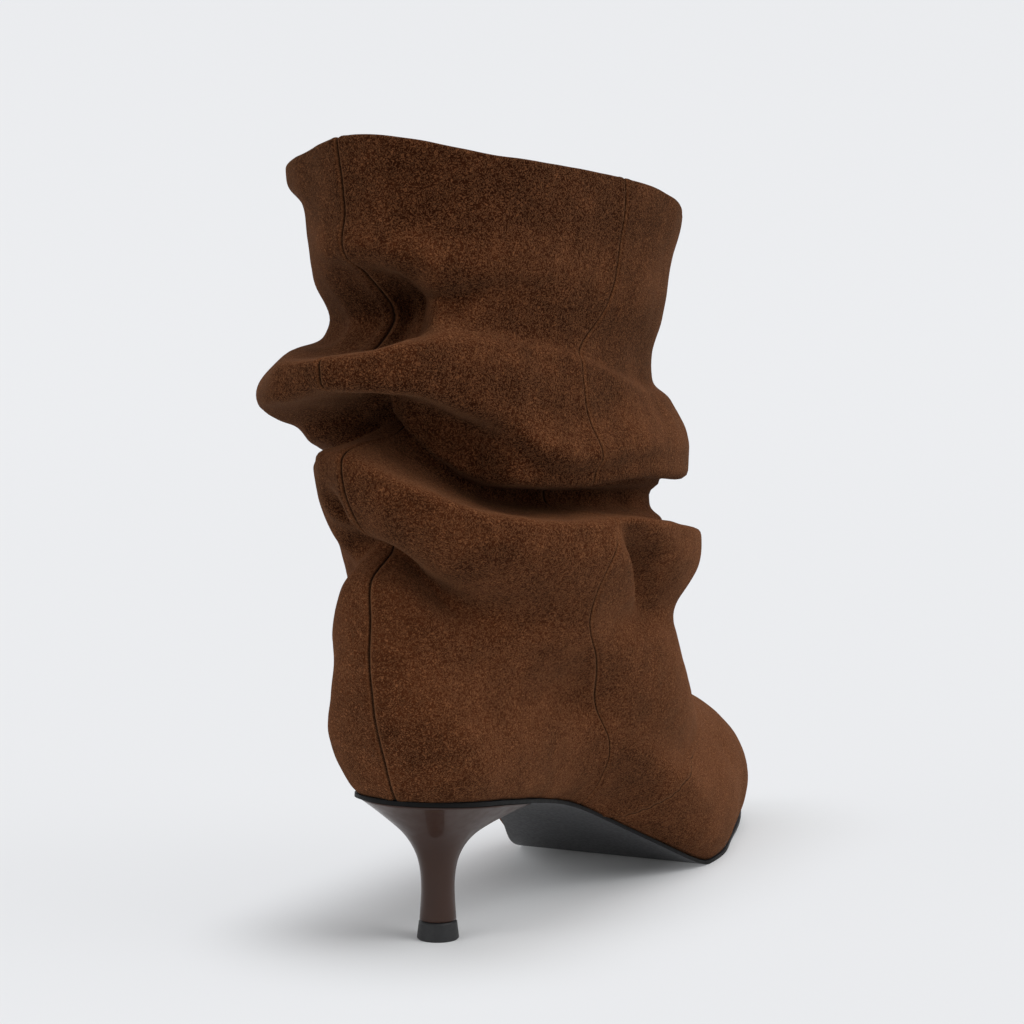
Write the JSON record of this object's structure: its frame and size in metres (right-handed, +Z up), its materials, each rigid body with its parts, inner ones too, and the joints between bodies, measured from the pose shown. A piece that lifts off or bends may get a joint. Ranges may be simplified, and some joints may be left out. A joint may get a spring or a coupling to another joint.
{
  "type": "slouch ankle boot",
  "caption": "Single right slouch ankle boot: soft suede shaft sunk into rolls, pointed toe, thin sole, slender mid heel; stands by itself.",
  "frame": {"origin": "middle of the heel tip's ground face", "axes": "+Z up, +Y towards the toe, +X towards the wearer's right"},
  "size_m": [0.1204, 0.2885, 0.2441],
  "materials": {
    "suede": "brown suede with a short mottled nap",
    "sole": "matt charcoal sole with a black edge",
    "sock": "smooth brown lining leather",
    "heel_lacquer": "glossy dark brown lacquer",
    "heel_tip": "matt black"
  },
  "bodies": {
    "root": {"upper": "suede", "outsole": "sole", "insole": "sock", "heel_block": "heel_lacquer", "top_piece": "heel_tip"}
  },
  "joints": []
}
